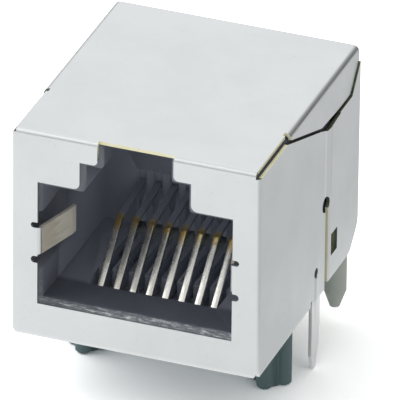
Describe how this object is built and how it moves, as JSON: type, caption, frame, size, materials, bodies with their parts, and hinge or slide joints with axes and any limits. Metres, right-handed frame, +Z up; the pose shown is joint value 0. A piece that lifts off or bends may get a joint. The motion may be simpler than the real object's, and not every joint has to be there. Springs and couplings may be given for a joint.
{
  "type": "shielded rj45 board jack",
  "caption": "Shielded right-angle board jack for a modular network plug, with a stepped latch opening, sprung contacts, board pegs and solder pins.",
  "frame": {"origin": "on the board plane, on the mid-width plane, midway between the two board pegs", "axes": "+X to the right as seen from the plug side, +Y from the plug opening to the rear, +Z up from the board"},
  "size_m": [0.0156, 0.0168, 0.0182],
  "materials": {
    "shield": "satin bright plating on thin sheet",
    "housing": "fine matte dark grey moulding",
    "carrier": "matte grey-green moulding",
    "contact": "gold over nickel plating"
  },
  "bodies": {
    "root": {"shield_shell": "shield", "rear_cover": "shield", "housing": "housing", "contact_carrier": "carrier", "contact_1": "contact", "contact_2": "contact", "contact_3": "contact", "contact_4": "contact", "contact_5": "contact", "contact_6": "contact", "contact_7": "contact", "contact_8": "contact"}
  },
  "joints": []
}
